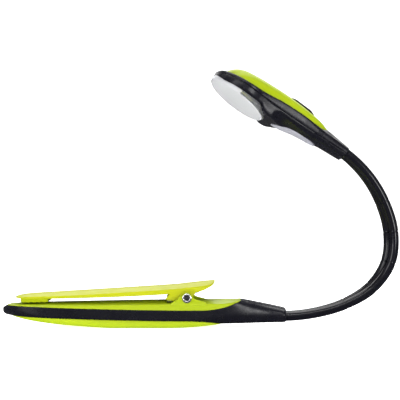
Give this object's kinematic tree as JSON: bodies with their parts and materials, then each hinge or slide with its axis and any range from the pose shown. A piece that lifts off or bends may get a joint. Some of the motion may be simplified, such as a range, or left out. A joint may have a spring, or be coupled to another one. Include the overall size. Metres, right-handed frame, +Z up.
{
  "type": "clip-on reading lamp",
  "caption": "Slim battery book light: a lever clip on a flat case, a bendable twin-tube neck and a round-nosed head with a clear lens and push button.",
  "frame": {"origin": "centre of the flat facet under the battery door, on which the case rests", "axes": "+X along the case towards the neck, +Y across the case, +Z up"},
  "size_m": [0.1657, 0.0292, 0.1073],
  "materials": {
    "black_plastic": "satin moulded",
    "lime_plastic": "glossy moulded",
    "lever_plastic": "glossy moulded",
    "cell_steel": "brushed",
    "contact_brass": "plated",
    "screw_steel": "bright",
    "pin_steel": "polished",
    "wire_plastic": "glossy",
    "pad_rubber": "matte",
    "neck_rubber": "glossy",
    "core_steel": "dull",
    "button_plastic": "satin",
    "switch_plastic": "matte",
    "board_white": "satin",
    "led_yellow": "glossy",
    "reflector_plastic": "bright white",
    "clear_lens": "clear polished",
    "silver_trim": "satin silver"
  },
  "bodies": {
    "case": {"case_frame": "black_plastic", "top_shell": "lime_plastic", "coin_cell_1": "cell_steel", "coin_cell_2": "cell_steel", "contact_positive": "contact_brass", "contact_negative": "contact_brass", "case_screws": "screw_steel", "case_wires": "wire_plastic", "clip_spring": "screw_steel", "neck_root_ferrule": "screw_steel", "neck_sleeve_1": "neck_rubber", "neck_core_1": "core_steel"},
    "door": {"battery_door": "lime_plastic", "contact_link": "contact_brass"},
    "clip": {"clip_lever": "lever_plastic", "clip_pad": "pad_rubber", "clip_pin": "pin_steel"},
    "head": {"neck_sleeve_8": "neck_rubber", "neck_core_8": "core_steel", "neck_head_ferrule": "screw_steel", "head_housing": "black_plastic", "head_rim": "black_plastic", "head_cover": "lime_plastic", "button_switch": "switch_plastic", "led_board": "board_white", "led_chips": "led_yellow", "reflector": "reflector_plastic", "lens": "clear_lens", "underside_trim": "silver_trim", "head_screws": "screw_steel", "head_wires": "wire_plastic"},
    "button": {"power_button": "button_plastic"},
    "neck_2": {"neck_sleeve_2": "neck_rubber", "neck_core_2": "core_steel"},
    "neck_3": {"neck_sleeve_3": "neck_rubber", "neck_core_3": "core_steel"},
    "neck_4": {"neck_sleeve_4": "neck_rubber", "neck_core_4": "core_steel"},
    "neck_5": {"neck_sleeve_5": "neck_rubber", "neck_core_5": "core_steel"},
    "neck_6": {"neck_sleeve_6": "neck_rubber", "neck_core_6": "core_steel"},
    "neck_7": {"neck_sleeve_7": "neck_rubber", "neck_core_7": "core_steel"}
  },
  "joints": [
    {"name": "door_release", "type": "slide", "parent": "case", "child": "door", "axis": [0, 0, -1], "range_m": [0, 0.012]},
    {"name": "clip_hinge", "type": "hinge", "parent": "case", "child": "clip", "pos_m": [0.024, 0, 0.0125], "axis": [0, 1, 0], "range_deg": [0, 18], "stiffness_Nm_per_rad": 0.5, "springref_deg": -28.65, "deforming": ["clip_spring"]},
    {"name": "neck_twist_low", "type": "hinge", "parent": "case", "child": "neck_2", "pos_m": [0.07821, 0, 0.00589], "axis": [0.9816, 0, 0.1908], "range_deg": [-50, 50]},
    {"name": "neck_bend_low", "type": "hinge", "parent": "neck_2", "child": "neck_3", "pos_m": [0.09041, 0, 0.00968], "axis": [0, -1, 0], "range_deg": [-16, 8]},
    {"name": "neck_bend_low_2", "type": "hinge", "parent": "neck_3", "child": "neck_4", "pos_m": [0.10119, 0, 0.01648], "axis": [0, -1, 0], "range_deg": [-16, 8]},
    {"name": "neck_bend_high", "type": "hinge", "parent": "neck_4", "child": "neck_5", "pos_m": [0.10822, 0, 0.027], "axis": [0, -1, 0], "range_deg": [-16, 8]},
    {"name": "neck_bend_high_2", "type": "hinge", "parent": "neck_5", "child": "neck_6", "pos_m": [0.10922, 0, 0.03963], "axis": [0, -1, 0], "range_deg": [-16, 8]},
    {"name": "neck_bend_high_3", "type": "hinge", "parent": "neck_6", "child": "neck_7", "pos_m": [0.10575, 0, 0.05193], "axis": [0, -1, 0], "range_deg": [-16, 8]},
    {"name": "neck_twist_high", "type": "hinge", "parent": "neck_7", "child": "head", "pos_m": [0.09932, 0, 0.06295], "axis": [-0.6225, 0, 0.7826], "range_deg": [-60, 60]},
    {"name": "power_press", "type": "slide", "parent": "head", "child": "button", "axis": [-0.521, -0.1822, -0.8338], "range_m": [0, 0.0008], "stiffness_N_per_m": 600, "springref_m": -0.001}
  ]
}
